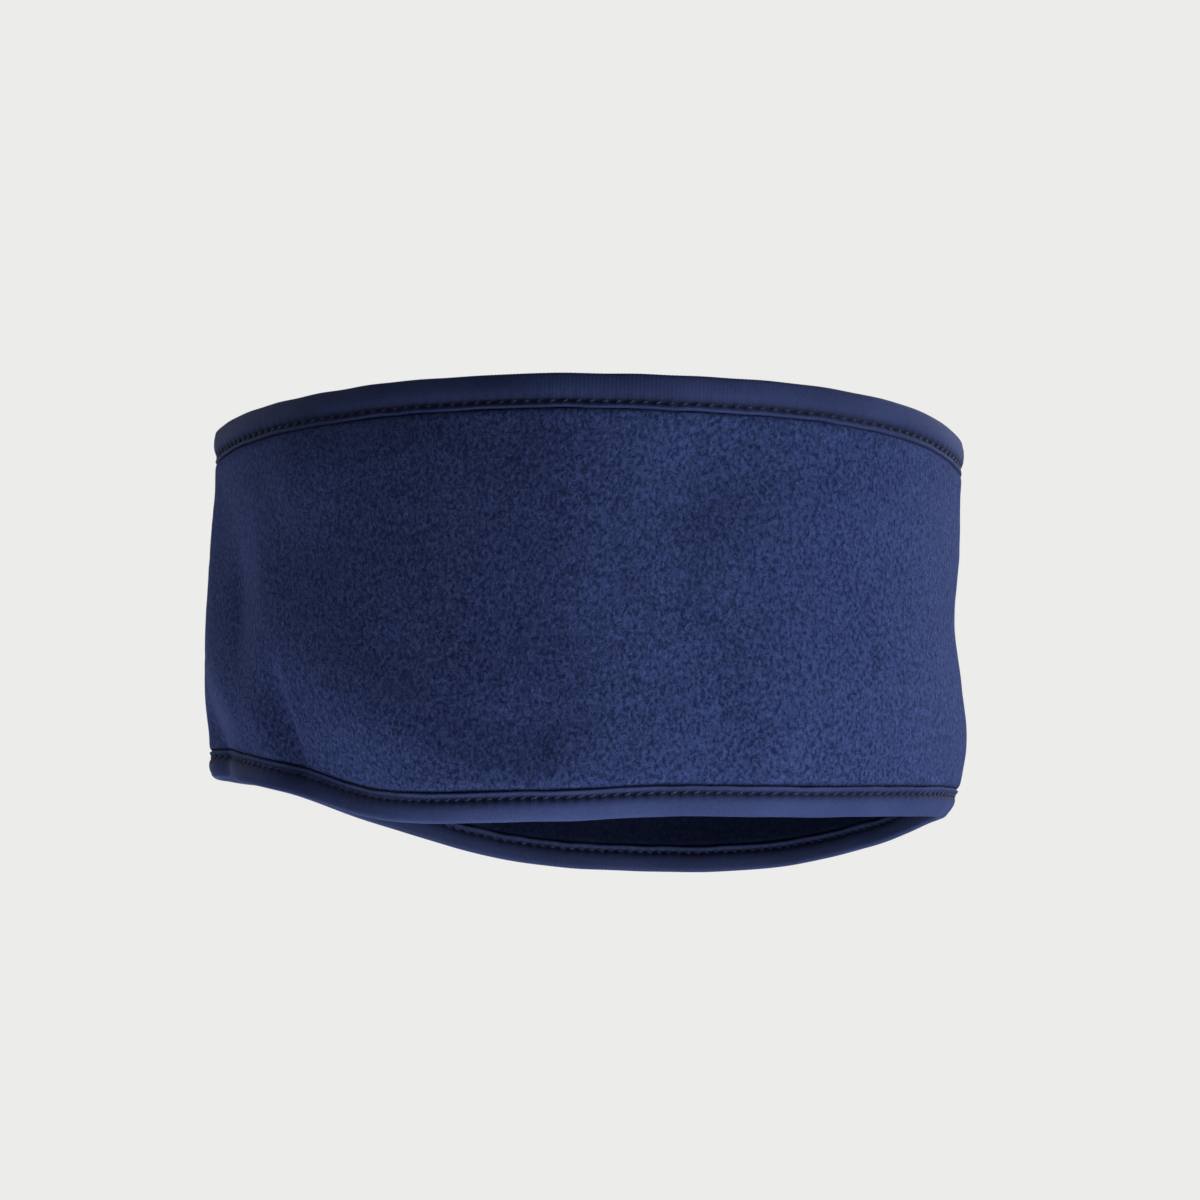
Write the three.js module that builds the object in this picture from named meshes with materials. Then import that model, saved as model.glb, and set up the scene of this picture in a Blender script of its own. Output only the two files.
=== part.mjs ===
// Ear warmer headband: one loop of brushed fleece with a folded knit binding over each rim.
//
// Millimetres. +Z runs up along the head, -X is the forehead and +X the back of the head.
// Angles go round the loop in degrees: 0 is the forehead, 90 the near ear on -Y, 180 the back
// of the head and 270 the far ear on +Y. The origin is the middle of the hollow for the head.

import * as THREE from "three";

// Driving sizes of the whole band
const bandLength = 196; // forehead to back of the head, outside
const bandWidth = 160; // ear to ear, outside
const widestSetback = 3.7; // how far the widest place lies behind the middle
const earHeight = 108; // nominal height over the ears, which the rim table divides

// Cloth and binding
const fleeceWall = 2.6; // the open fleece
const fleeceEdgeWall = 1.4; // the fleece pressed inside a binding
const bindingThickness = 0.9; // folded knit tape
const clothGap = 0.4; // clearance between two pieces of cloth
const topBindingDrop = 8.6; // how far each flap of the top binding reaches from the rim
const bottomBindingDrop = 7.2; // the same for the bottom binding

// Folds
const foldDepth = 3; // the depth that the fold table divides

// How finely the loop and its section are divided
const loopStations = 72;
const bodyRows = 9;
const rimArcSteps = 4;

// Turns rows of values into records with named columns.
function namedRows(columns, rows) {
  return rows.map((row) => Object.fromEntries(columns.map((column, index) => [column, row[index]])));
}

// The rims, a row for every 22.5 degrees. Each height is a share of earHeight, measured up or
// down from the origin's level to the outer edge of the binding.
const rimTable = namedRows(
  ["angle", "top", "bottom"],
  [
    [0, 0.478, -0.352],
    [22.5, 0.477, -0.368],
    [45, 0.478, -0.421],
    [67.5, 0.48, -0.506],
    [90, 0.473, -0.52],
    [112.5, 0.463, -0.507],
    [135, 0.456, -0.502],
    [157.5, 0.443, -0.485],
    [180, 0.425, -0.468],
    [202.5, 0.443, -0.462],
    [225, 0.456, -0.5],
    [247.5, 0.463, -0.536],
    [270, 0.473, -0.538],
    [292.5, 0.48, -0.511],
    [315, 0.478, -0.43],
    [337.5, 0.477, -0.357],
  ],
);

// The plan of the outer face at some heights. share is the height between the rims, from 0 at
// the bottom. front and back are shares of half bandLength, side of half bandWidth, and taper
// is how much narrower than an ellipse the front half is and how much fuller the back half.
const sectionTable = namedRows(
  ["share", "front", "back", "side", "taper"],
  [
    [0, 0.99, 0.934, 0.944, 0],
    [0.08, 1.002, 0.968, 0.965, 0.01],
    [0.2, 1.019, 0.993, 0.985, 0.02],
    [0.35, 1.021, 0.981, 1, 0.03],
    [0.52, 1.013, 0.965, 1.01, 0.04],
    [0.7, 1.002, 0.978, 1.01, 0.05],
    [0.9, 0.979, 0.982, 1.002, 0.06],
    [1, 0.986, 0.99, 1, 0.065],
  ],
);

// Dents and folds. angle and share are the middle of a fold. lean is its direction in degrees,
// 0 along the band towards the back of the head and 90 upwards. length, before and after are
// half sizes as shares of earHeight: along the fold, and across it to the right and to the left
// of that direction, seen from outside. depth is a share of foldDepth, positive outwards.
// sharp runs from 0, a round fold, to 1, a crease.
const foldTable = namedRows(
  ["name", "angle", "share", "lean", "length", "before", "after", "depth", "sharp"],
  [
    ["ear_trough", 117, 0.32, 107, 0.34, 0.07, 0.1, -1.05, 0],
    ["ear_dent", 117, 0.77, 86, 0.13, 0.18, 0.12, -1.1, 0.1],
    ["ear_swell", 97, 0.54, 99, 0.4, 0.08, 0.1, 0.4, 0],
    ["front_ridge", 75, 0.18, -33, 0.33, 0.15, 0.19, 1.35, 0.1],
    ["front_trough", 76, 0.33, -47, 0.19, 0.09, 0.18, -0.65, 0],
    ["rim_wedge", 89, 0.2, -102, 0.08, 0.17, 0.07, -0.7, 0.3],
    ["brow_tuck", 55, -0.17, -20, 0.27, 0.3, 0.26, -4.6, 0],
    ["brow_top", 53, 0.84, -2, 0.5, 0.14, 0.07, 0.55, 0],
    ["rim_flare", 50, -0.02, 0, 0.3, 0.07, 0.055, 1.4, 0],
    ["temple_ridge", 51, 0.77, -64, 0.14, 0.065, 0.13, 0.5, 0],
    ["temple_hollow", 28, 0.57, 111, 0.21, 0.085, 0.12, -1.1, 0],
    ["corner_crease", 42, 0.12, -50, 0.15, 0.07, 0.065, 0.8, 0.2],
    ["corner_hollow", 20, 0.04, -60, 0.15, 0.07, 0.2, -1.2, 0],
    ["far_trough", 240, 0.38, 84, 0.26, 0.08, 0.08, -0.4, 0],
    ["far_ridge", 262, 0.3, 100, 0.24, 0.08, 0.1, 0.3, 0],
    ["far_front_ridge", 301, 0.3, 35, 0.28, 0.12, 0.1, 0.45, 0],
    ["far_front_trough", 287, 0.46, 38, 0.26, 0.14, 0.14, -0.3, 0],
  ],
);

// Sizes worked out from the driving ones
const meanRadius = (bandLength + bandWidth) / 4;
const bindingInnerHalf = fleeceEdgeWall / 2 + clothGap;
const bindingOuterHalf = bindingInnerHalf + bindingThickness;
const wallMiddle = fleeceWall / 2;

// A column of a table, read between its rows on a smooth curve. key is the column that the rows
// are sorted by. With a period the table closes on itself, and otherwise it ends at both ends.
function readTable(rows, key, column, place, period = 0) {
  const rowAt = (index) => {
    const turns = period ? Math.floor(index / rows.length) : 0;
    const row = rows[THREE.MathUtils.clamp(index - turns * rows.length, 0, rows.length - 1)];
    return { key: row[key] + turns * period, value: row[column] };
  };
  const slope = (from, to) => (to.value - from.value) / (to.key - from.key);
  const lastStart = period ? rows.length - 1 : rows.length - 2;
  let index = 0;
  while (index < lastStart && place >= rowAt(index + 1).key) index += 1;
  const [before, start, end, after] = [-1, 0, 1, 2].map((step) => rowAt(index + step));
  const span = end.key - start.key;
  const t = (place - start.key) / span;
  return cubic(t, start.value, end.value, slope(before, end) * span, slope(start, after) * span);
}

// A cubic from start to end, with its slope given at both ends.
function cubic(t, start, end, startSlope, endSlope) {
  const t2 = t * t;
  const t3 = t2 * t;
  return (
    (2 * t3 - 3 * t2 + 1) * start +
    (t3 - 2 * t2 + t) * startSlope +
    (3 * t2 - 2 * t3) * end +
    (t3 - t2) * endSlope
  );
}

// An angle brought to between 0 and 360 degrees.
function wholeTurn(angle) {
  return ((angle % 360) + 360) % 360;
}

// A column of the section table at a share of the height, level past the rims.
function sectionValue(column, share) {
  return readTable(sectionTable, "share", column, THREE.MathUtils.clamp(share, 0, 1));
}

// The heights of the two rims at an angle.
function rimHeights(angle) {
  return {
    top: readTable(rimTable, "angle", "top", wholeTurn(angle), 360) * earHeight,
    bottom: readTable(rimTable, "angle", "bottom", wholeTurn(angle), 360) * earHeight,
  };
}

// How far the folds push the cloth out at an angle and a share of the height.
function foldOffset(angle, share, localHeight) {
  let offset = 0;
  for (const fold of foldTable) {
    const turn = wholeTurn(angle - fold.angle + 180) - 180;
    const across = THREE.MathUtils.degToRad(turn) * meanRadius;
    const up = (share - fold.share) * localHeight;
    const lean = THREE.MathUtils.degToRad(fold.lean);
    const along = across * Math.cos(lean) + up * Math.sin(lean);
    const aside = across * Math.sin(lean) - up * Math.cos(lean);
    const width = (aside > 0 ? fold.before : fold.after) * earHeight;
    const ends = Math.exp(-((along / (fold.length * earHeight)) ** 2));
    const sides = Math.exp(-(Math.abs(aside / width) ** (2 - fold.sharp)));
    offset += fold.depth * foldDepth * ends * sides;
  }
  return offset;
}

// The plan of the outer face, before folds: an egg, whose widest place lies behind the middle.
function planPoint(angle, share) {
  const turn = THREE.MathUtils.degToRad(angle);
  const half = bandLength / 2;
  const forward = Math.cos(turn);
  const reach =
    forward > 0
      ? half * sectionValue("front", share) + widestSetback
      : half * sectionValue("back", share) - widestSetback;
  const taper = 1 - sectionValue("taper", share) * forward;
  const side = (bandWidth / 2) * sectionValue("side", share);
  return new THREE.Vector2(widestSetback - reach * forward, -side * taper * Math.sin(turn));
}

// The direction straight out of the cloth, in plan.
function planOutward(angle, share) {
  const step = 0.05;
  const ahead = planPoint(angle + step, share);
  const behind = planPoint(angle - step, share);
  const along = ahead.sub(behind).normalize();
  return new THREE.Vector2(along.y, -along.x);
}

// A point of the cloth at an angle and a height, a distance in from the outer face.
function clothPoint(angle, height, inset) {
  const rims = rimHeights(angle);
  const localHeight = rims.top - rims.bottom;
  const share = (height - rims.bottom) / localHeight;
  const outward = planOutward(angle, share);
  const plan = planPoint(angle, share);
  plan.addScaledVector(outward, foldOffset(angle, share, localHeight) - inset);
  return new THREE.Vector3(plan.x, plan.y, height);
}

// Half a circle of section points round a rim, from the outer face to the inner one. level is
// the height of its middle, and away is 1 where it closes upwards and -1 downwards.
function rimArc(radius, level, away) {
  const points = [];
  for (let step = 0; step <= rimArcSteps; step += 1) {
    const turn = (Math.PI * step) / rimArcSteps;
    points.push([wallMiddle - radius * Math.cos(turn), level + away * radius * Math.sin(turn)]);
  }
  return points;
}

// The fleece's closed section at an angle, as [inset, height] pairs. It is thin and round
// ended inside the bindings and has its full wall between them.
function fleeceSection(angle) {
  const rims = rimHeights(angle);
  const edgeHalf = fleeceEdgeWall / 2;
  const outer = (half) => wallMiddle - half;
  const inner = (half) => wallMiddle + half;
  const lowArc = rims.bottom + bindingOuterHalf;
  const highArc = rims.top - bindingOuterHalf;
  const lowLip = rims.bottom + bottomBindingDrop + clothGap;
  const highLip = rims.top - topBindingDrop - clothGap;
  const body = [];
  for (let row = 0; row < bodyRows; row += 1) {
    body.push(lowLip + ((highLip - lowLip) * row) / (bodyRows - 1));
  }
  return [
    ...rimArc(edgeHalf, highArc, 1),
    [inner(edgeHalf), highLip],
    ...[...body].reverse().map((height) => [inner(wallMiddle), height]),
    [inner(edgeHalf), lowLip],
    ...rimArc(edgeHalf, lowArc, -1).reverse(),
    [outer(edgeHalf), lowLip],
    ...body.map((height) => [outer(wallMiddle), height]),
    [outer(edgeHalf), highLip],
  ];
}

// A binding's closed section at an angle: a U of tape that hugs the fleece's edge.
function bindingSection(angle, rim, drop) {
  const away = rim === "top" ? 1 : -1;
  const edge = rimHeights(angle)[rim];
  const arcLevel = edge - away * bindingOuterHalf;
  const lip = edge - away * drop;
  const outline = [
    ...rimArc(bindingOuterHalf, arcLevel, away),
    [wallMiddle + bindingOuterHalf, lip],
    [wallMiddle + bindingInnerHalf, lip],
    ...rimArc(bindingInnerHalf, arcLevel, away).reverse(),
    [wallMiddle - bindingInnerHalf, lip],
    [wallMiddle - bindingOuterHalf, lip],
  ];
  return rim === "top" ? outline : outline.reverse();
}

// Carries a closed section round the whole loop and closes the skin on itself.
function loopGeometry(sectionAt) {
  const positions = [];
  const indices = [];
  let points = 0;
  for (let station = 0; station < loopStations; station += 1) {
    const angle = (360 * station) / loopStations;
    const section = sectionAt(angle);
    points = section.length;
    for (const [inset, height] of section) positions.push(...clothPoint(angle, height, inset));
  }
  for (let station = 0; station < loopStations; station += 1) {
    const next = (station + 1) % loopStations;
    for (let point = 0; point < points; point += 1) {
      const after = (point + 1) % points;
      const [a, b] = [station * points + point, next * points + point];
      const [c, d] = [next * points + after, station * points + after];
      indices.push(a, b, c, a, c, d);
    }
  }
  const geometry = new THREE.BufferGeometry();
  geometry.setAttribute("position", new THREE.Float32BufferAttribute(positions, 3));
  geometry.setIndex(indices);
  geometry.computeVertexNormals();
  return geometry;
}

// Finishes
const navyFleece = new THREE.MeshStandardMaterial({ color: 0x26335f, roughness: 0.96, metalness: 0 });
const navyBinding = new THREE.MeshStandardMaterial({ color: 0x2c3866, roughness: 0.85, metalness: 0 });

function piece(name, sectionAt, material) {
  const mesh = new THREE.Mesh(loopGeometry(sectionAt), material);
  mesh.name = name;
  return mesh;
}

const headband = new THREE.Group();
headband.add(
  piece("fleece_band", fleeceSection, navyFleece),
  piece("top_binding", (angle) => bindingSection(angle, "top", topBindingDrop), navyBinding),
  piece("bottom_binding", (angle) => bindingSection(angle, "bottom", bottomBindingDrop), navyBinding),
);

export default headband;
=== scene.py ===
# Ear warmer headband: a loop of brushed navy fleece, a folded knit tape over each rim and the
# thread that holds the tapes.
#
# Metres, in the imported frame. +Z runs up along the head, -X is the forehead and +X the back of
# the head. Angles go round the loop in degrees: 0 is the forehead, 90 the near ear on -Y, 180
# the back of the head and 270 the far ear on +Y.

import math

import bpy
import numpy as np
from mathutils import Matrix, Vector


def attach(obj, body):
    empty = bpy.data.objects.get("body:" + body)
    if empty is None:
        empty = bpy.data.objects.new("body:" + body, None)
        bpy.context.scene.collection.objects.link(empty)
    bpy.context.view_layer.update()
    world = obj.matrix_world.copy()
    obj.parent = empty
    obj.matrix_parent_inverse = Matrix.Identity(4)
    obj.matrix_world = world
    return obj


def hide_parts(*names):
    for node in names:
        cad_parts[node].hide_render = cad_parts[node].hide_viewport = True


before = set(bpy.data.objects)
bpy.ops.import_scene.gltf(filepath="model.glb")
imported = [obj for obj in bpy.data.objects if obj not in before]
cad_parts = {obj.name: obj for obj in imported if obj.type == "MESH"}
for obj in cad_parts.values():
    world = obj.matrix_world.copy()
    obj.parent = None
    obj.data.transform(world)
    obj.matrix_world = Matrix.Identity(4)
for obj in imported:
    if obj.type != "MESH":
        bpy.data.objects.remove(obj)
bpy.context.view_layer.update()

millimetre = 0.001

# Driving sizes of the whole band
band_length = 0.196  # forehead to back of the head, outside
band_width = 0.160  # ear to ear, outside
widest_setback = 0.0037  # how far the widest place lies behind the middle
ear_height = 0.108  # nominal height over the ears, which the rim table divides

# Cloth and tape. The tape lies closer to the fleece than the solids' gap lets them.
fleece_wall = 2.6 * millimetre
fleece_edge_wall = 1.4 * millimetre  # the fleece pressed inside a tape
tape_thickness = 0.7 * millimetre
cloth_gap = 0.05 * millimetre
top_drop = 8.6 * millimetre  # how far each flap of the top tape reaches from the rim
bottom_drop = 7.2 * millimetre  # the same for the bottom tape
fold_depth = 3 * millimetre  # the depth that the fold tables divide

# Sizes worked out from the driving ones
mean_radius = (band_length + band_width) / 4
tape_inner_half = fleece_edge_wall / 2 + cloth_gap
tape_outer_half = tape_inner_half + tape_thickness
wall_middle = fleece_wall / 2

# The camera of the photograph
camera_azimuth = 12
camera_elevation = -7.4
camera_distance = 1.0
camera_lens = 116.64
camera_sensor = 36
camera_shift = (0.01133, 0.02275)
camera_range = (0.01, 30)


# Tables

def columns_of(names, rows):
    """A table by its columns: each name gives the array of its values, row by row."""
    return {name: np.array([row[place] for row in rows]) for place, name in enumerate(names)}


# The rims, a row for every 22.5 degrees. Each height is a share of ear_height, measured up or
# down from the origin's level to the outer edge of the tape.
rim_table = columns_of(
    ["angle", "top", "bottom"],
    [
        [0, 0.478, -0.352],
        [22.5, 0.477, -0.368],
        [45, 0.478, -0.421],
        [67.5, 0.48, -0.506],
        [90, 0.473, -0.52],
        [112.5, 0.463, -0.507],
        [135, 0.456, -0.502],
        [157.5, 0.443, -0.485],
        [180, 0.425, -0.468],
        [202.5, 0.443, -0.462],
        [225, 0.456, -0.5],
        [247.5, 0.463, -0.536],
        [270, 0.473, -0.538],
        [292.5, 0.48, -0.511],
        [315, 0.478, -0.43],
        [337.5, 0.477, -0.357],
    ],
)

# The plan of the outer face at some heights. share is the height between the rims, from 0 at
# the bottom. front and back are shares of half band_length, side of half band_width, and taper
# is how much narrower than an ellipse the front half is and how much fuller the back half.
section_table = columns_of(
    ["share", "front", "back", "side", "taper"],
    [
        [0, 0.99, 0.934, 0.944, 0],
        [0.08, 1.002, 0.968, 0.965, 0.01],
        [0.2, 1.019, 0.993, 0.985, 0.02],
        [0.35, 1.021, 0.981, 1, 0.03],
        [0.52, 1.013, 0.965, 1.01, 0.04],
        [0.7, 1.002, 0.978, 1.01, 0.05],
        [0.9, 0.979, 0.982, 1.002, 0.06],
        [1, 0.986, 0.99, 1, 0.065],
    ],
)

# Dents and folds. angle and share are the middle of a fold. lean is its direction in degrees,
# 0 along the band towards the back of the head and 90 upwards. length, before and after are
# half sizes as shares of ear_height: along the fold, and across it to the right and to the left
# of that direction, seen from outside. depth is a share of fold_depth, positive outwards.
# sharp runs from 0, a round fold, to 1, a crease.
fold_columns = ["name", "angle", "share", "lean", "length", "before", "after", "depth", "sharp"]
main_folds = columns_of(
    fold_columns,
    [
        ["ear_trough", 117, 0.32, 107, 0.34, 0.07, 0.1, -1.05, 0],
        ["ear_dent", 117, 0.77, 86, 0.13, 0.18, 0.12, -1.1, 0.1],
        ["ear_swell", 97, 0.54, 99, 0.4, 0.08, 0.1, 0.4, 0],
        ["front_ridge", 75, 0.18, -33, 0.33, 0.15, 0.19, 1.35, 0.1],
        ["front_trough", 76, 0.33, -47, 0.19, 0.09, 0.18, -0.65, 0],
        ["rim_wedge", 89, 0.2, -102, 0.08, 0.17, 0.07, -0.7, 0.3],
        ["brow_tuck", 55, -0.17, -20, 0.27, 0.3, 0.26, -4.6, 0],
        ["brow_top", 53, 0.84, -2, 0.5, 0.14, 0.07, 0.55, 0],
        ["rim_flare", 50, -0.02, 0, 0.3, 0.07, 0.055, 1.4, 0],
        ["temple_ridge", 51, 0.77, -64, 0.14, 0.065, 0.13, 0.5, 0],
        ["temple_hollow", 28, 0.57, 111, 0.21, 0.085, 0.12, -1.1, 0],
        ["corner_crease", 42, 0.12, -50, 0.15, 0.07, 0.065, 0.8, 0.2],
        ["corner_hollow", 20, 0.04, -60, 0.15, 0.07, 0.2, -1.2, 0],
        ["far_trough", 240, 0.38, 84, 0.26, 0.08, 0.08, -0.4, 0],
        ["far_ridge", 262, 0.3, 100, 0.24, 0.08, 0.1, 0.3, 0],
        ["far_front_ridge", 301, 0.3, 35, 0.28, 0.12, 0.1, 0.45, 0],
        ["far_front_trough", 287, 0.46, 38, 0.26, 0.14, 0.14, -0.3, 0],
    ],
)

# Small folds that only the fleece and tapes of the finished look have
small_folds = columns_of(
    fold_columns,
    [
        ["corner_pinch", 18, 0.1, -64, 0.2, 0.045, 0.11, -0.55, 0],
        ["corner_edge", 48, 0.19, -81, 0.11, 0.05, 0.028, -0.9, 0],
        ["corner_valley", 36, 0.22, -46, 0.18, 0.055, 0.1, -0.45, 0],
        ["corner_pocket", 12, 0.14, -68, 0.05, 0.045, 0.045, -0.6, 0],
        ["temple_streak", 32, 0.53, -80, 0.21, 0.05, 0.08, -0.6, 0],
        ["brow_corner", 14, 0.97, 90, 0.14, 0.1, 0.1, 0.3, 0],
        ["rim_roll", 54, -0.02, 0, 0.44, 0.06, 0.05, 1, 0],
        ["temple_valley", 38, 0.57, -82, 0.16, 0.075, 0.05, -0.65, 0],
        ["wedge_border", 94.5, 0.12, -56, 0.07, 0.022, 0.11, 0.24, 0.2],
        ["back_pleat", 160, 0.3, 82, 0.16, 0.04, 0.05, -0.1, 0],
        ["nape_pleat", 186, 0.34, 96, 0.2, 0.05, 0.04, -0.16, 0],
        ["nape_swell", 199, 0.4, 84, 0.2, 0.06, 0.06, 0.12, 0],
        ["far_pleat", 222, 0.24, 70, 0.14, 0.04, 0.04, 0.12, 0],
        ["far_temple_valley", 318, 0.6, 60, 0.18, 0.06, 0.06, -0.12, 0],
        ["brow_swell", 345, 0.5, 90, 0.2, 0.08, 0.08, 0.1, 0],
        ["brow_valley", 358, 0.62, 90, 0.16, 0.05, 0.05, -0.1, 0],
    ],
)


# The cloth's surface

def read_table(table, key, column, place, period=None):
    """A column of a table, read at the given places on a smooth curve through its rows.

    Between two rows the curve is a cubic, and its slope at a row is that of the straight line
    from the row before to the row after. With a period the table closes on itself.
    """
    keys, values = table[key], table[column]
    if period:
        keys = np.concatenate([keys[-2:] - period, keys, keys[:2] + period])
        values = np.concatenate([values[-2:], values, values[:2]])
    rows = np.arange(len(keys))
    before, after = np.maximum(rows - 1, 0), np.minimum(rows + 1, rows[-1])
    slopes = (values[after] - values[before]) / (keys[after] - keys[before])
    start = np.clip(np.searchsorted(keys, place, side="right") - 1, 0, rows[-1] - 1)
    span = keys[start + 1] - keys[start]
    t = (place - keys[start]) / span
    return (
        (2 * t**3 - 3 * t**2 + 1) * values[start]
        + (t**3 - 2 * t**2 + t) * slopes[start] * span
        + (3 * t**2 - 2 * t**3) * values[start + 1]
        + (t**3 - t**2) * slopes[start + 1] * span
    )


def rim_height(rim, angle):
    """The height of the top or bottom rim at the given angles."""
    return ear_height * read_table(rim_table, "angle", rim, np.mod(angle, 360), 360)


def section_value(column, share):
    """A column of the section table at a share of the height, level past the rims."""
    return read_table(section_table, "share", column, np.clip(share, 0, 1))


def fold_offset(folds, angle, share, local_height):
    """How far a table of folds pushes the cloth out.

    A fold is a hump on the band laid flat: exp(-(a / length)^2) along its direction times
    exp(-|b / width|^(2 - sharp)) across it, where a and b are distances from its middle.
    """
    offset = 0
    for name, middle, level, lean, length, before, after, depth, sharp in zip(*folds.values()):
        across = np.radians(np.mod(angle - middle + 180, 360) - 180) * mean_radius
        up = (share - level) * local_height
        direction = math.radians(lean)
        along = across * math.cos(direction) + up * math.sin(direction)
        aside = across * math.sin(direction) - up * math.cos(direction)
        width = np.where(aside > 0, before, after) * ear_height
        ends = np.exp(-((along / (length * ear_height)) ** 2))
        sides = np.exp(-(np.abs(aside / width) ** (2 - sharp)))
        offset = offset + depth * fold_depth * ends * sides
    return offset


def plan_point(angle, share):
    """The plan of the outer face before folds: an egg, widest a little behind the middle.

    x is the setback minus the reach times the cosine of the angle, y the half width times its
    sine, narrowed by the taper times its cosine.
    """
    turn = np.radians(angle)
    forward = np.cos(turn)
    half = band_length / 2
    front = half * section_value("front", share) + widest_setback
    back = half * section_value("back", share) - widest_setback
    reach = np.where(forward > 0, front, back)
    taper = 1 - section_value("taper", share) * forward
    side = band_width / 2 * section_value("side", share)
    return widest_setback - reach * forward, -side * taper * np.sin(turn)


def plan_outward(angle, share):
    """The direction straight out of the cloth in plan: its tangent turned a quarter."""
    step = 0.05
    ahead = plan_point(angle + step, share)
    behind = plan_point(angle - step, share)
    along = (ahead[0] - behind[0], ahead[1] - behind[1])
    length = np.hypot(*along)
    return along[1] / length, -along[0] / length


def cloth_point(angle, height, inset):
    """Points of the cloth at angles and heights, a distance in from the outer face.

    The plan at that height is moved straight out by the folds and in by the inset.
    """
    top, bottom = rim_height("top", angle), rim_height("bottom", angle)
    local_height = top - bottom
    share = (height - bottom) / local_height
    x, y = plan_point(angle, share)
    out_x, out_y = plan_outward(angle, share)
    push = fold_offset(main_folds, angle, share, local_height) - inset
    push = push + fold_offset(small_folds, angle, share, local_height)
    return np.stack(np.broadcast_arrays(x + out_x * push, y + out_y * push, height), axis=-1)


def way_round(rim, steps=2880):
    """The length of a rim, and the angle at any share of the way round it from the forehead."""
    angles = np.linspace(0, 360, steps + 1)
    points = cloth_point(angles, rim_height(rim, angles), 0)
    travelled = np.append(0, np.cumsum(np.linalg.norm(np.diff(points, axis=0), axis=1)))

    def angle_at(way):
        """The angle at a share of the way, read off in a straight line between the steps."""
        turns = np.floor(way)
        return np.interp((way - turns) * travelled[-1], travelled, angles) + 360 * turns

    return travelled[-1], angle_at


# Soft unevenness of the cloths. A row has its size, the seed of its draw, the fewest and the
# most waves round the loop, the most waves upwards over a share of 1, and how many are added up.
# The size is its usual reach either way: a length, or a share of what it works on.
wave_table = {
    "lumps": [0.09 * millimetre, 3, 5, 22, 2.2, 22],
    "nubs": [0.028 * millimetre, 8, 40, 130, 14, 60],
    "pucker": [0.07 * millimetre, 22, 90, 150, 0, 12],
    "pucker_strength": [0.6, 21, 6, 30, 0, 8],
    "gathers": [0.5 * millimetre, 5, 16, 44, 0.245, 12],
    "inner_lumps": [0.16 * millimetre, 6, 30, 90, 2.5, 24],
    "rim_wander": [0.05 * millimetre, 51, 9, 40, 0, 12],
    "lip_wander": [0.09 * millimetre, 61, 14, 70, 0, 14],
    "groove_strength": [0.12, 31, 20, 90, 0, 12],
    "flap_lumps": [0.05 * millimetre, 41, 12, 60, 0, 12],
}


def waves(name, way, share=0, next_seed=0):
    """Unevenness by its row of the wave table, which closes on itself round the loop.

    It is a sum of cosines of whole numbers of waves round the loop and some waves upwards,
    with seeded numbers, directions and starts, over the square root of their count.
    """
    size, seed, fewest, most, most_upward, count = wave_table[name]
    draw = np.random.default_rng(seed + next_seed)
    total = 0
    for _ in range(count):
        around = draw.integers(fewest, most + 1) * draw.choice([-1, 1])
        upward = draw.uniform(-most_upward, most_upward)
        start = draw.uniform(0, 2 * math.pi)
        total = total + np.cos(2 * math.pi * (around * way + upward * share) + start)
    return size * (total / math.sqrt(count))


# Meshes

def mesh_piece(name, points, faces, material, painted_shade=None):
    """A smooth mesh object of the given points and four-sided faces, riding on the band.

    Its last argument, if given, says for each point how much shade is painted into its colour in a seam,
    a groove or the band's inside, from 0 to 1.
    """
    mesh = bpy.data.meshes.new(name)
    mesh.vertices.add(len(points))
    mesh.vertices.foreach_set("co", points.astype(np.float32).ravel())
    mesh.loops.add(faces.size)
    mesh.loops.foreach_set("vertex_index", faces.astype(np.int32).ravel())
    mesh.polygons.add(len(faces))
    mesh.polygons.foreach_set("loop_start", np.arange(0, faces.size, 4, dtype=np.int32))
    mesh.polygons.foreach_set("use_smooth", np.ones(len(faces), bool))
    if painted_shade is not None:
        depth = mesh.attributes.new("painted_shade", "FLOAT", "POINT")
        depth.data.foreach_set("value", painted_shade.astype(np.float32).ravel())
    mesh.update()
    mesh.validate()
    mesh.materials.append(material)
    piece = bpy.data.objects.new(name, mesh)
    bpy.context.scene.collection.objects.link(piece)
    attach(piece, "root")
    return piece


def loop_faces(stations, points):
    """The faces of a section of so many points carried round so many stations.

    Face (i, j) joins points j and j + 1 of station i to those of station i + 1, and both
    numbers wrap round, so the skin closes on itself both ways.
    """
    station = np.arange(stations)[:, None]
    point = np.arange(points)[None, :]
    next_station, next_point = (station + 1) % stations, (point + 1) % points
    corners = [
        station * points + point,
        next_station * points + point,
        next_station * points + next_point,
        station * points + next_point,
    ]
    return np.stack(np.broadcast_arrays(*corners), axis=-1).reshape(-1, 4)


# The fleece

fleece_stations = 660
outer_rows = 80
inner_rows = 34
fleece_tuck = 4.5 * millimetre  # how far the fleece reaches in under a lip
pressed_roll = 1.3 * millimetre  # how far from a lip the fleece has its full wall again
lip_puff = 0.3 * millimetre  # how far it then swells past its full wall
lip_puff_place = 1.7 * millimetre
lip_rows = np.array([0, 0.08, 0.22, 0.45, 0.8, 1.2, 1.7, 2.3]) * millimetre
lip_rows_gap = 0.5 * millimetre  # from the last of those rows to the open cloth's first
pucker_reach = 2.4 * millimetre  # how far the stitching puckers the fleece
seam_shade = 0.45 * millimetre  # how far from a lip the shade painted beside the seam reaches on the fleece
high_seam_shade_share = 0.3  # how strong the painted shade at an upper seam is beside that at a lower one


def face_rows(low_lip, high_lip, body_rows):
    """Heights of the rows of a face of the fleece, from inside the bottom tape to the top one."""
    margin = lip_rows[-1] + lip_rows_gap
    body = np.linspace(0, 1, body_rows)[None, :]
    return np.concatenate(
        [
            low_lip - fleece_tuck,
            low_lip + lip_rows[None, :],
            low_lip + margin + (high_lip - low_lip - 2 * margin) * body,
            high_lip - lip_rows[None, ::-1],
            high_lip + fleece_tuck,
        ],
        axis=1,
    )


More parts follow.
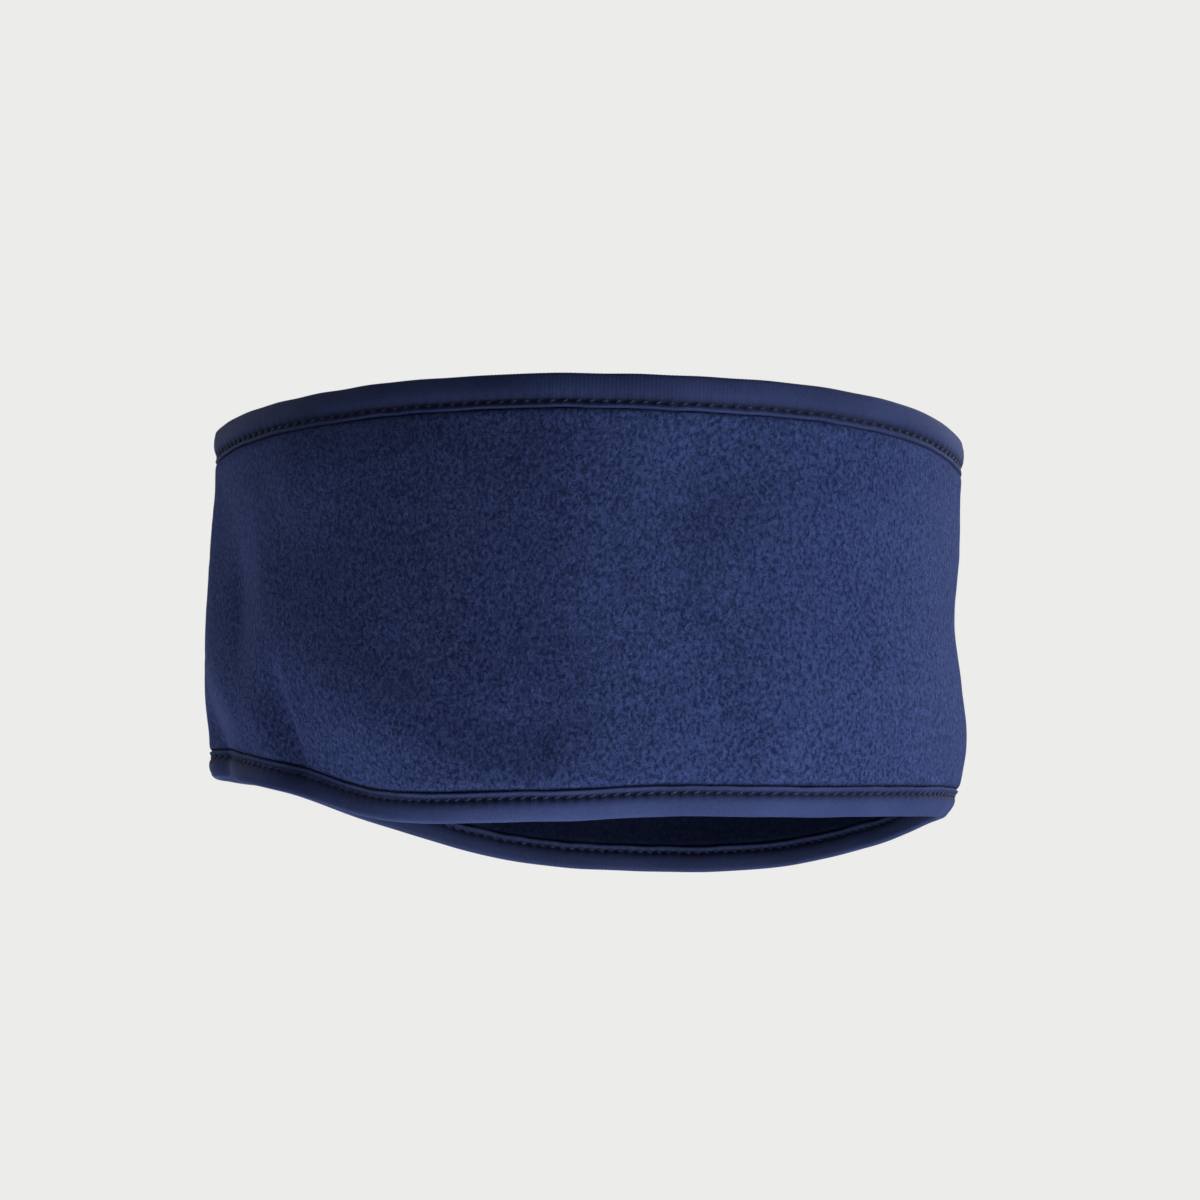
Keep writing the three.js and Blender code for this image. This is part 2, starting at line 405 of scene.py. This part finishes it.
def fleece_half(height, low_lip, high_lip):
    """Half the fleece's wall. It is pressed inside the tapes and swells out beside the lips.

    The swell is a quarter of an ellipse over the pressed roll's width, and a puff on top of it
    grows with the distance from the lip and dies away as its exponential.
    """
    clear = np.clip(np.minimum(height - low_lip, high_lip - height), 0, None)
    swell = np.sqrt(1 - (1 - np.clip(clear / pressed_roll, 0, 1)) ** 2)
    puff = clear / lip_puff_place * np.exp(1 - clear / lip_puff_place)
    return fleece_edge_wall / 2 + (fleece_wall - fleece_edge_wall) / 2 * swell + lip_puff * puff


def openness(share, power):
    """0 at both lips and 1 midway between them: a power of 4 s (1 - s), where s is the share."""
    return np.clip(4 * share * (1 - share), 0, 1) ** power


def make_fleece(outside, inside):
    """The fleece: both its faces as one closed skin, carried round the loop.

    The outer face carries soft lumps a few centimetres wide and a little puckering beside the
    stitching. The inner face has upright gathers, as the loop is longer than what it clings to.
    """
    way = np.arange(fleece_stations)[:, None] / fleece_stations
    angle = way_round("top")[1](way)
    low_lip = rim_height("bottom", angle) + bottom_drop
    high_lip = rim_height("top", angle) - top_drop
    outer = face_rows(low_lip, high_lip, outer_rows)
    inner = face_rows(low_lip, high_lip, inner_rows)[:, ::-1]
    outer_share = (outer - low_lip) / (high_lip - low_lip)
    inner_share = (inner - low_lip) / (high_lip - low_lip)

    unevenness = waves("lumps", way, outer_share) + waves("nubs", way, outer_share)
    beside_low = np.exp(-np.clip(outer - low_lip, 0, None) / pucker_reach)
    beside_high = np.exp(-np.clip(high_lip - outer, 0, None) / pucker_reach)
    pucker = waves("pucker", way) * (1 + waves("pucker_strength", way)) * (beside_low + beside_high)
    outer_inset = wall_middle - fleece_half(outer, low_lip, high_lip)
    outer_inset = outer_inset - (unevenness + pucker) * openness(outer_share, 0.25)

    unevenness = waves("gathers", way, inner_share) + waves("inner_lumps", way, inner_share)
    inner_inset = wall_middle + fleece_half(inner, low_lip, high_lip)
    inner_inset = inner_inset + unevenness * openness(inner_share, 0.5)

    height = np.concatenate([inner, outer], axis=1)
    inset = np.concatenate([inner_inset, outer_inset], axis=1)
    points = cloth_point(angle, height, inset)
    # Painted shade beside the seams, fading out from each lip, weaker at the upper one.
    low_seam_shade = np.exp(-((np.clip(height - low_lip, 0, None) / seam_shade) ** 2))
    high_seam_shade = np.exp(-((np.clip(high_lip - height, 0, None) / seam_shade) ** 2))
    painted_shade = np.maximum(low_seam_shade, high_seam_shade_share * high_seam_shade)
    faces = loop_faces(fleece_stations, height.shape[1])
    piece = mesh_piece("fleece", points.reshape(-1, 3), faces, outside, painted_shade)
    # The inner face takes the darker copy of the fleece, painted shade for the inside of the band.
    piece.data.materials.append(inside)
    shaded_inner_faces = (np.arange(height.shape[1]) < inner.shape[1]).astype(np.int32)
    piece.data.polygons.foreach_set("material_index", np.tile(shaded_inner_faces, fleece_stations))
    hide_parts("fleece_band")
    return piece


# The tapes and their stitches

rib_pitch = 0.95 * millimetre
rib_depth = 0.03 * millimetre
stations_a_rib = 4
lip_round = 0.4 * millimetre  # how far from a flap's free edge its fold is round
lip_ridge = 0.18 * millimetre
lip_ridge_place = 0.55 * millimetre
lip_ridge_width = 0.36 * millimetre
groove_width = 0.58 * millimetre
groove_depth = 0.58 * millimetre
groove_rimward = 1.35  # how much wider the groove is on its rim side
groove_mean = 0.82  # its mean depth along the row, as a share of groove_depth
groove_swing = 0.28  # how much deeper than that it is at a needle hole, and shallower between
flap_bulge = 0.45 * millimetre
flap_fullness = 0.8  # below 1 it fills the bulge out
hole_pull = 0.05 * millimetre  # how far the tape lies in beside a needle hole, and out between
hole_pull_reach = 1.3 * millimetre
near_lip_rows = np.array([0, 0.08, 0.2, 0.36, 0.58, 0.85]) * millimetre
groove_rows = np.array([-0.55, -0.25, 0, 0.35, 0.8]) * millimetre
flap_body_rows = np.array([0.22, 0.5, 0.8])  # shares of the way from the last of them to the rim

# The shade painted into the tape's colour in its crevices: the stitched groove, the lips' edges and the
# inner flap
groove_shade_rimward = 1.9  # how far it reaches on the rim's side, in groove widths
groove_shade_inside = 2  # how much further it reaches there inside the band
groove_shade_power = 1.5
lip_shade = 0.16 * millimetre  # how wide the painted shade along a lip's edge is
inner_painted_shade = 0.6  # how strong the painted shade is on the tape's inner flap, inside the band

# The thread
thread_radius = 0.24 * millimetre
thread_height = 1.15  # the height of the thread's section over its depth
thread_sink = 0.72  # how far down the groove the stitches lie, as a share of its depth
thread_rise = 0.75  # how far a stitch's middle stands up and its ends dip, in thread radii
thread_dip = 1.2
length_spread = 0.06  # how unequal the stitches are
slant_spread = 0.25

# Each tape: its rim, drop, the stitching's distance from the lip, the stitches' pitch, how long
# a stitch is as a share of the pitch, and how far up one end of it slants and the other down
tape_table = columns_of(
    ["rim", "drop", "groove", "pitch", "thread_share", "slant"],
    [
        ["top", top_drop, 1.7 * millimetre, 3.2 * millimetre, 0.46, 0.24 * millimetre],
        ["bottom", bottom_drop, 1.75 * millimetre, 2.7 * millimetre, 0.64, 0.36 * millimetre],
    ],
)


def tape_of(rim):
    """The row of the tape table for one rim, with the rim's measures added."""
    row = int(np.flatnonzero(tape_table["rim"] == rim)[0])
    tape = {name: values[row] for name, values in tape_table.items()}
    tape["away"] = 1 if rim == "top" else -1
    tape["length"], tape["angle_at"] = way_round(rim)
    tape["stitches"] = round(tape["length"] / tape["pitch"])
    tape["ribs"] = round(tape["length"] / rib_pitch)
    tape["flap"] = tape["drop"] - tape_outer_half
    return tape


def flap_thickness(tape, way, from_lip, side):
    """How thick a flap of tape is at a distance from its free edge.

    A quarter of a circle at the edge, a low ridge, the stitched groove, deepest where the
    needle went through, and a full body up to the rim. Fine ribs run across the tape.
    """
    edge = np.sqrt(1 - (1 - np.clip(from_lip / lip_round, 0, 1)) ** 2)
    ridge = lip_ridge * np.exp(-(((from_lip - lip_ridge_place) / lip_ridge_width) ** 2))
    holes = np.cos(2 * math.pi * tape["stitches"] * way)
    beyond = from_lip - tape["groove"]
    width = groove_width * np.where(beyond > 0, groove_rimward, 1)
    depth = groove_depth * (1 + waves("groove_strength", way, next_seed=side))
    depth = depth * (groove_mean + groove_swing * holes)
    groove = depth * np.exp(-((beyond / width) ** 2))
    body = np.clip(beyond / (tape["flap"] - tape["groove"]), 0, 1)
    bulge = flap_bulge * np.sin(math.pi * body) ** flap_fullness
    lumps = waves("flap_lumps", way, next_seed=side) * body
    ribs = rib_depth * np.cos(2 * math.pi * tape["ribs"] * way) * edge
    pull = -hole_pull * holes * np.exp(-np.abs(beyond) / hole_pull_reach) * edge
    return tape_thickness * edge + (ridge + bulge + ribs + lumps + pull) * edge - groove


def rim_turn(radius, level, away, steps):
    """Half a circle round a rim, from the outer face to the inner one, as insets and heights."""
    turn = np.linspace(0, math.pi, steps)[None, :]
    return wall_middle - radius * np.cos(turn), level + away * radius * np.sin(turn)


def make_tape(rim, material):
    """A folded knit tape: a closed U of cloth that hugs the fleece's edge.

    Round the loop its section runs over the rim, down one flap to the lip, back along the
    flap's hidden face, and the same on the other flap. Heights follow the rim, which wanders a
    little, and so do the lips.
    """
    tape = tape_of(rim)
    away = tape["away"]
    stations = tape["ribs"] * stations_a_rib
    way = np.arange(stations)[:, None] / stations
    angle = tape["angle_at"](way)
    edge = rim_height(rim, angle) + away * waves("rim_wander", way, next_seed=away)
    level = edge - away * tape_outer_half
    rim_ribs = rib_depth * np.cos(2 * math.pi * tape["ribs"] * way)

    across_groove = tape["groove"] + groove_rows
    across_body = across_groove[-1] + (tape["flap"] - across_groove[-1]) * flap_body_rows
    rows = np.concatenate([near_lip_rows, across_groove, across_body])[None, :]

    def flap(side):
        """Insets and heights of the outer flap, side -1, or the inner one, from lip to rim."""
        lip_wander = waves("lip_wander", way, next_seed=side)
        lip = level - away * (tape["flap"] + lip_wander)
        half = tape_inner_half + flap_thickness(tape, way, rows, side)
        return wall_middle + side * half, lip + away * rows * (1 + lip_wander / tape["flap"])

    outer_inset, outer_height = flap(-1)
    inner_inset, inner_height = flap(1)
    over_inset, over_height = rim_turn(tape_outer_half + rim_ribs, level, away, 7)
    under_inset, under_height = rim_turn(tape_inner_half, level, away, 3)
    inset = [over_inset + 0 * way, inner_inset[:, ::-1], under_inset[:, ::-1] + 0 * way, outer_inset]
    height = [over_height, inner_height[:, ::-1], under_height[:, ::-1], outer_height]
    inset, height = np.concatenate(inset, axis=1), np.concatenate(height, axis=1)
    if rim == "bottom":
        inset, height = inset[:, ::-1], height[:, ::-1]
    points = cloth_point(angle, height, inset)

    # Painted shade: dark in the stitched groove, wider on the rim's side and wider still inside the
    # band, a dark line along the lip's edge, weaker on the top tape, and darker over the inner flap.
    from_lip = tape["flap"] - np.abs(height - level)
    beyond = from_lip - tape["groove"]
    inside = np.clip((inset - wall_middle) / tape_outer_half, 0, 1)
    rimward = groove_shade_rimward + groove_shade_inside * inside
    width = groove_width * np.where(beyond > 0, rimward, 1)
    painted_shade = np.exp(-(np.abs(beyond / width) ** groove_shade_power))
    lip_edge_shade = np.exp(-((from_lip / lip_shade) ** 2))
    painted_shade = np.maximum(painted_shade, lip_edge_shade if rim == "bottom" else high_seam_shade_share * lip_edge_shade)
    painted_shade = np.maximum(painted_shade, inner_painted_shade * inside**2)
    faces = loop_faces(stations, height.shape[1])
    piece = mesh_piece(rim + "_tape", points.reshape(-1, 3), faces, material, painted_shade)
    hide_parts(rim + "_binding")
    return piece


def make_stitches(rim, side, material):
    """One row of stitches, each a bead of thread between two needle holes.

    A stitch is a tube round an arched line: its radius falls to nothing at both ends as the
    square root of 1 - u^4, and its line dips into the tape as u^4, with u from -1 to 1.
    """
    tape = tape_of(rim)
    away = tape["away"]
    rings, sides = 7, 8
    stitch = np.arange(tape["stitches"])[:, None, None]
    along = np.linspace(-1, 1, rings)[None, :, None]
    turn = (2 * math.pi * np.arange(sides) / sides)[None, None, :]
    draw = np.random.default_rng(71 + 2 * away + side)
    length = tape["thread_share"] * (1 + length_spread * draw.standard_normal(stitch.shape))
    slant = tape["slant"] * (1 + slant_spread * draw.standard_normal(stitch.shape))
    way = (stitch + 0.5 + along * length / 2) / tape["stitches"]
    angle = tape["angle_at"](way)
    radius = thread_radius * np.sqrt(np.clip(1 - along**4, 0, 1))
    bed = tape_outer_half - thread_sink * groove_depth
    out = bed + thread_radius * (thread_rise - thread_dip * along**4) + radius * np.cos(turn)
    up = away * (tape["groove"] - tape["drop"])
    height = rim_height(rim, angle) + up + slant * along + thread_height * radius * np.sin(turn)
    points = cloth_point(angle, height, wall_middle + side * out)

    count = tape["stitches"]
    first = np.arange(count)[:, None, None] * rings * sides
    ring = np.arange(rings - 1)[None, :, None] * sides
    place = np.arange(sides)[None, None, :]
    after = (place + 1) % sides
    corners = [first + ring + place, first + ring + after]
    corners = corners + [first + ring + sides + after, first + ring + sides + place]
    faces = np.stack(np.broadcast_arrays(*corners), axis=-1).reshape(-1, 4)
    if side > 0:
        faces = faces[:, ::-1]
    name = f"{rim}_outer_stitches" if side < 0 else f"{rim}_inner_stitches"
    return mesh_piece(name, points.reshape(-1, 3), faces, material)


# Materials

noise_detail = 2.0
grain_squeeze = (1.0, 1.0, 0.76)  # below 1 makes the grains taller than wide
clump_twist = 0.5
fibre_rate = 2.7  # how much finer than the clumps the fibre is
fleck_low = 0.38  # the grain's height where a fleck starts, and where it is full
fleck_high = 0.72
fleck_polish = 0.12  # how much less rough the tops of the grain are
painted_shade_strength = 0.85  # how far the painted shade darkens the dye in a seam or groove
# the near black that the painted shade mixes into the dye
painted_shade_colour = (0.001, 0.0015, 0.004, 1)


def node_group(name, inputs, outputs):
    """An empty shader node group with named sockets, and its two end nodes."""
    group = bpy.data.node_groups.new(name, "ShaderNodeTree")
    for socket_name, kind, value in inputs:
        socket = group.interface.new_socket(socket_name, in_out="INPUT", socket_type=kind)
        if value is not None:
            socket.default_value = value
    for socket_name, kind in outputs:
        group.interface.new_socket(socket_name, in_out="OUTPUT", socket_type=kind)
    return group, group.nodes.new("NodeGroupInput"), group.nodes.new("NodeGroupOutput")


def add_node(tree, kind, feeds=(), **settings):
    """A node with its settings. Each of feeds is a socket's name or number and what it gets."""
    node = tree.nodes.new(kind)
    for key, value in settings.items():
        setattr(node, key, value)
    for socket, source in feeds:
        if isinstance(source, bpy.types.NodeSocket):
            tree.links.new(source, node.inputs[socket])
        else:
            node.inputs[socket].default_value = source
    return node


def reckon(tree, operation, first, second):
    """One step of arithmetic on two sockets or numbers."""
    feeds = [(0, first), (1, second)]
    return add_node(tree, "ShaderNodeMath", feeds, operation=operation).outputs[0]


def mix_colours(tree, share, first, second):
    """Two colours mixed, by a share from 0 for the first to 1 for the second."""
    feeds = [(0, share), (6, first), (7, second)]
    return add_node(tree, "ShaderNodeMix", feeds, data_type="RGBA").outputs[2]


def cloth_grain_group():
    """The grain of cloth: rounded clumps of fibre of a given size, with finer fibre on them."""
    group, given, made = node_group(
        "cloth_grain",
        [
            ("Place", "NodeSocketVector", None),
            ("Grains per metre", "NodeSocketFloat", 1000),
            ("Fibre share", "NodeSocketFloat", 0.3),
        ],
        [("Height", "NodeSocketFloat"), ("Fleck", "NodeSocketFloat")],
    )
    rate = given.outputs["Grains per metre"]
    feeds = [(0, given.outputs["Place"]), (1, grain_squeeze)]
    place = add_node(group, "ShaderNodeVectorMath", feeds, operation="MULTIPLY").outputs[0]
    feeds = [("Vector", place), ("Scale", rate), ("Detail", noise_detail), ("Distortion", clump_twist)]
    clumps = add_node(group, "ShaderNodeTexNoise", feeds).outputs["Fac"]
    finer = reckon(group, "MULTIPLY", rate, fibre_rate)
    feeds = [("Vector", place), ("Scale", finer), ("Detail", noise_detail)]
    fibre = add_node(group, "ShaderNodeTexNoise", feeds).outputs["Fac"]
    fibre_part = reckon(group, "MULTIPLY", fibre, given.outputs["Fibre share"])
    clump_share = reckon(group, "SUBTRACT", 1.0, given.outputs["Fibre share"])
    clump_part = reckon(group, "MULTIPLY", clumps, clump_share)
    height = reckon(group, "ADD", clump_part, fibre_part)
    group.links.new(height, made.inputs["Height"])
    feeds = [("Value", height), ("From Min", fleck_low), ("From Max", fleck_high)]
    fleck = add_node(group, "ShaderNodeMapRange", feeds)
    group.links.new(fleck.outputs["Result"], made.inputs["Fleck"])
    return group


def dye_and_pile_shade_group():
    """The unevenness of the colour: two colours mixed by slow patches of dye and by the grain's flecks,
    light on its clumps and deep between them, partly the grain's own tone and partly shade painted into
    its hollows.
    """
    group, given, made = node_group(
        "dye_and_pile_shade",
        [
            ("Place", "NodeSocketVector", None),
            ("Patches per metre", "NodeSocketFloat", 20),
            ("Fleck", "NodeSocketFloat", 0.5),
            ("Fleck share", "NodeSocketFloat", 0.5),
            ("Deep", "NodeSocketColor", None),
            ("Light", "NodeSocketColor", None),
        ],
        [("Color", "NodeSocketColor")],
    )
    feeds = [("Vector", given.outputs["Place"]), ("Scale", given.outputs["Patches per metre"])]
    patches = add_node(group, "ShaderNodeTexNoise", [*feeds, ("Detail", noise_detail)])
    rest = reckon(group, "SUBTRACT", 1.0, given.outputs["Fleck share"])
    slow = reckon(group, "MULTIPLY", patches.outputs["Fac"], rest)
    quick = reckon(group, "MULTIPLY", given.outputs["Fleck"], given.outputs["Fleck share"])
    share = reckon(group, "ADD", slow, quick)
    mixed = mix_colours(group, share, given.outputs["Deep"], given.outputs["Light"])
    group.links.new(mixed, made.inputs["Color"])
    return group


# What sets the cloths apart. Colours are linear. bump is the depth of the grain.
cloth_table = {
    "brushed_fleece": {
        "grains": 1150,
        "fibre": 0.35,
        "patches": 26,
        "fleck_share": 0.75,
        "deep": (0.006, 0.011, 0.045, 1),
        "light": (0.090, 0.138, 0.398, 1),
        "bump": 0.7 * millimetre,
        "roughness": 0.95,
        "sheen": 0.22,
        "sheen_roughness": 0.45,
        "sheen_tint": (0.25, 0.36, 1.0, 1),
        "specular": 0.08,
    },
    # The inner face: the same fleece in much darker colours with little sheen, painted shade for the
    # inside of the band.
    "fleece_inside_painted_shade": {
        "grains": 1250,
        "fibre": 0.35,
        "patches": 26,
        "fleck_share": 0.62,
        "deep": (0.002, 0.0035, 0.012, 1),
        "light": (0.010, 0.016, 0.050, 1),
        "bump": 0.5 * millimetre,
        "roughness": 0.95,
        "sheen": 0.03,
        "sheen_roughness": 0.45,
        "sheen_tint": (0.25, 0.36, 1.0, 1),
        "specular": 0.05,
    },
    "knit_tape": {
        "grains": 2100,
        "fibre": 0.4,
        "patches": 60,
        "fleck_share": 0.35,
        "deep": (0.023, 0.035, 0.112, 1),
        "light": (0.059, 0.089, 0.258, 1),
        "bump": 0.06 * millimetre,
        "roughness": 0.8,
        "sheen": 0.12,
        "sheen_roughness": 0.4,
        "sheen_tint": (0.35, 0.45, 1.0, 1),
        "specular": 0.16,
    },
    "sewing_thread": {
        "grains": 3600,
        "fibre": 0.5,
        "patches": 90,
        "fleck_share": 0.4,
        "deep": (0.020, 0.028, 0.078, 1),
        "light": (0.042, 0.057, 0.142, 1),
        "bump": 0.03 * millimetre,
        "roughness": 0.5,
        "sheen": 0.1,
        "sheen_roughness": 0.3,
        "sheen_tint": (0.6, 0.66, 1.0, 1),
        "specular": 0.3,
    },
}


def cloth_material(name, grain_group, drift_group):
    """One of the cloths of the table: dye, grain and sheen on Object coordinates, and shade painted into
    the colour by the mesh's shade attribute.
    """
    look = cloth_table[name]
    material = bpy.data.materials.new(name)
    material.use_nodes = True
    tree = material.node_tree
    shader = tree.nodes["Principled BSDF"]
    shader.inputs["Specular IOR Level"].default_value = look["specular"]
    shader.inputs["Sheen Weight"].default_value = look["sheen"]
    shader.inputs["Sheen Roughness"].default_value = look["sheen_roughness"]
    shader.inputs["Sheen Tint"].default_value = look["sheen_tint"]
    place = add_node(tree, "ShaderNodeTexCoord").outputs["Object"]
    feeds = [("Place", place), ("Grains per metre", look["grains"]), ("Fibre share", look["fibre"])]
    grain = add_node(tree, "ShaderNodeGroup", feeds, node_tree=grain_group)
    feeds = [
        ("Place", place),
        ("Patches per metre", look["patches"]),
        ("Fleck", grain.outputs["Fleck"]),
        ("Fleck share", look["fleck_share"]),
        ("Deep", look["deep"]),
        ("Light", look["light"]),
    ]
    drift = add_node(tree, "ShaderNodeGroup", feeds, node_tree=drift_group)
    # Painted shade: the mesh's shade attribute mixes a near black into the dye in seams, grooves and
    # inside the band.
    shade_mask = add_node(tree, "ShaderNodeAttribute", attribute_name="painted_shade").outputs["Fac"]
    share = reckon(tree, "MULTIPLY", shade_mask, painted_shade_strength)
    shaded = mix_colours(tree, share, drift.outputs["Color"], painted_shade_colour)
    tree.links.new(shaded, shader.inputs["Base Color"])
    polish = reckon(tree, "MULTIPLY", grain.outputs["Fleck"], -fleck_polish)
    tree.links.new(reckon(tree, "ADD", polish, look["roughness"]), shader.inputs["Roughness"])
    feeds = [("Height", grain.outputs["Height"]), ("Distance", look["bump"]), ("Strength", 1.0)]
    bump = add_node(tree, "ShaderNodeBump", feeds)
    tree.links.new(bump.outputs["Normal"], shader.inputs["Normal"])
    return material


# The stage, the lights and the camera

backdrop_grey = (0.840, 0.840, 0.832, 1)  # the photograph's plain pale backdrop, linear
floor_level = -0.35
floor_radius = 6.0
floor_glow = 0.05  # what the floor gives back to the band, beside the backdrop's grey
room_glow = 0.03  # what the rest of the studio gives it


def two_faced_glow(tree, target, socket, kind, glow):
    """A plain light that is the backdrop's grey to the camera and dimmer to everything else."""
    path = add_node(tree, "ShaderNodeLightPath").outputs["Is Camera Ray"]
    seen = add_node(tree, kind, [("Color", backdrop_grey), ("Strength", 1.0)]).outputs[0]
    felt = add_node(tree, kind, [("Color", (1, 1, 1, 1)), ("Strength", glow)]).outputs[0]
    mix = add_node(tree, "ShaderNodeMixShader", [(0, path), (1, felt), (2, seen)])
    tree.links.new(mix.outputs[0], target.inputs[socket])


def make_stage():
    """A plain pale floor under the held band, and the pale room round it."""
    world = bpy.data.worlds.new("pale_room")
    bpy.context.scene.world = world
    world.use_nodes = True
    output = world.node_tree.nodes["World Output"]
    two_faced_glow(world.node_tree, output, "Surface", "ShaderNodeBackground", room_glow)

    material = bpy.data.materials.new("pale_floor")
    material.use_nodes = True
    material.node_tree.nodes.remove(material.node_tree.nodes["Principled BSDF"])
    output = material.node_tree.nodes["Material Output"]
    two_faced_glow(material.node_tree, output, "Surface", "ShaderNodeEmission", floor_glow)

    corners = 96
    turn = 2 * math.pi * np.arange(corners) / corners
    rim = np.stack([np.cos(turn), np.sin(turn), np.zeros(corners)], axis=-1) * floor_radius
    mesh = bpy.data.meshes.new("floor")
    mesh.from_pydata((rim + [0, 0, floor_level]).tolist(), [], [list(range(corners))])
    mesh.materials.append(material)
    floor = bpy.data.objects.new("floor", mesh)
    bpy.context.scene.collection.objects.link(floor)


def direction_from(azimuth, elevation):
    """The unit vector from the origin towards an azimuth and elevation, azimuth 0 being -Y."""
    a, e = math.radians(azimuth), math.radians(elevation)
    return Vector((math.sin(a) * math.cos(e), -math.cos(a) * math.cos(e), math.sin(e)))


# Soft lights: azimuth and elevation as for the camera, distance, side of the square, power
light_table = [
    ["below", -35, -72, 0.34, 0.2, 0.52],
    ["low_left", -70, -55, 0.4, 0.2, 0.14],
    ["low_front", 0, -37, 0.56, 0.25, 0.95],
    ["low_right", 63, -37, 0.56, 0.25, 2.7],
    ["high_right", 80, 25, 1.3, 0.9, 3.8],
    ["back", 140, 25, 1.3, 0.9, 8.8],
    ["left", -110, 25, 1.3, 0.9, 3.4],
    ["far_side", 200, -10, 1.3, 0.9, 9],
]


def make_lights():
    """The square soft lights of the table, each facing the origin."""
    for name, azimuth, elevation, distance, size, power in light_table:
        light = bpy.data.lights.new(name, "AREA")
        light.shape = "SQUARE"
        light.size = size
        light.energy = power
        lamp = bpy.data.objects.new(name, light)
        back = direction_from(azimuth, elevation)
        lamp.location = back * distance
        lamp.rotation_euler = back.to_track_quat("Z", "Y").to_euler()
        bpy.context.scene.collection.objects.link(lamp)


def make_camera():
    """The photograph's camera: a little behind the near ear and looking slightly up."""
    camera = bpy.data.cameras.new("camera")
    camera.lens = camera_lens
    camera.sensor_width = camera_sensor
    camera.shift_x, camera.shift_y = camera_shift
    camera.clip_start, camera.clip_end = camera_range
    holder = bpy.data.objects.new("camera", camera)
    back = direction_from(camera_azimuth, camera_elevation)
    holder.location = back * camera_distance
    holder.rotation_euler = back.to_track_quat("Z", "Y").to_euler()
    bpy.context.scene.collection.objects.link(holder)
    bpy.context.scene.camera = holder


make_camera()
make_stage()
make_lights()
bpy.context.scene.view_settings.view_transform = "Standard"

grain_group = cloth_grain_group()
drift_group = dye_and_pile_shade_group()
materials = {name: cloth_material(name, grain_group, drift_group) for name in cloth_table}

fleece = make_fleece(materials["brushed_fleece"], materials["fleece_inside_painted_shade"])
tapes = [make_tape(rim, materials["knit_tape"]) for rim in ("top", "bottom")]
stitches = [
    make_stitches(rim, side, materials["sewing_thread"]) for rim in ("top", "bottom") for side in (-1, 1)
]
